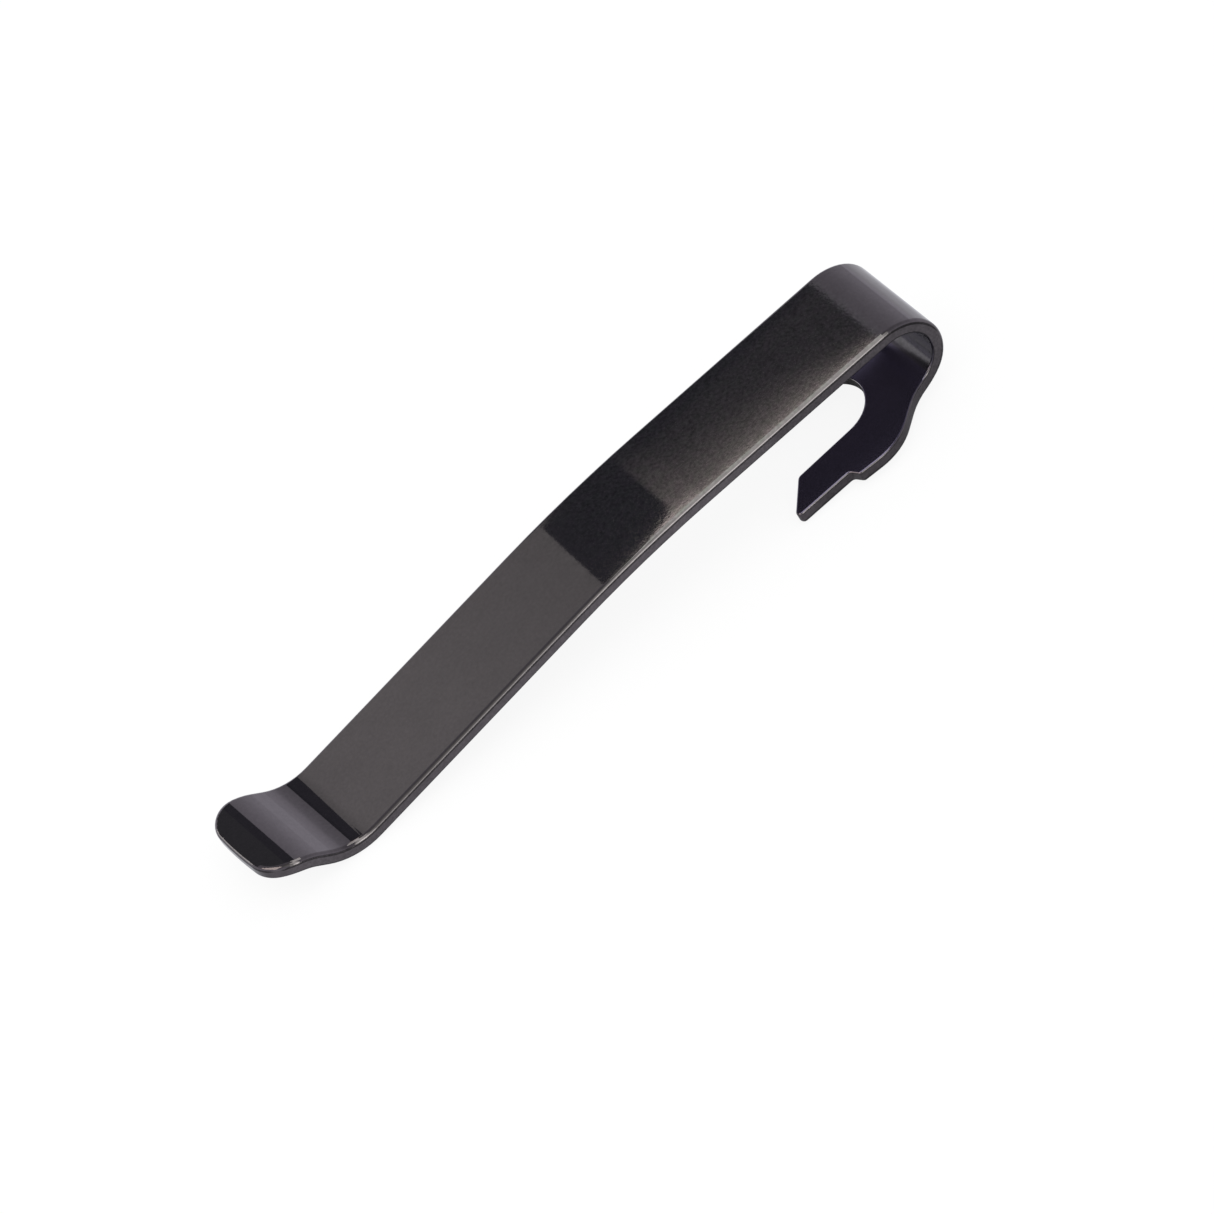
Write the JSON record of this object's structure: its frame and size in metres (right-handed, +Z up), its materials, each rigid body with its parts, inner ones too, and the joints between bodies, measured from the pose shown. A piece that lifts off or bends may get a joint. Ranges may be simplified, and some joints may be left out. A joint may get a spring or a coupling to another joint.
{
  "type": "pocket clip",
  "caption": "Bent sheet-steel pocket clip: a long flat strap with an upturned round-ended lip, folded back at its other end into a flat forked hook plate with a slot and a side nub.",
  "frame": {"origin": "middle of the clip's bounding box, at table level, with the clip lying on its prong tips and its lip's valley", "axes": "+Z up, away from the surface that the clip rests on; +X along the strap towards the hook; +Y across the strap, away from the nub"},
  "size_m": [0.0596, 0.0122, 0.0072],
  "materials": {
    "blackened_steel": "black oxide on tumbled spring steel, smooth with a dull shine"
  },
  "bodies": {
    "root": {"pocket_clip": "blackened_steel"}
  },
  "joints": []
}
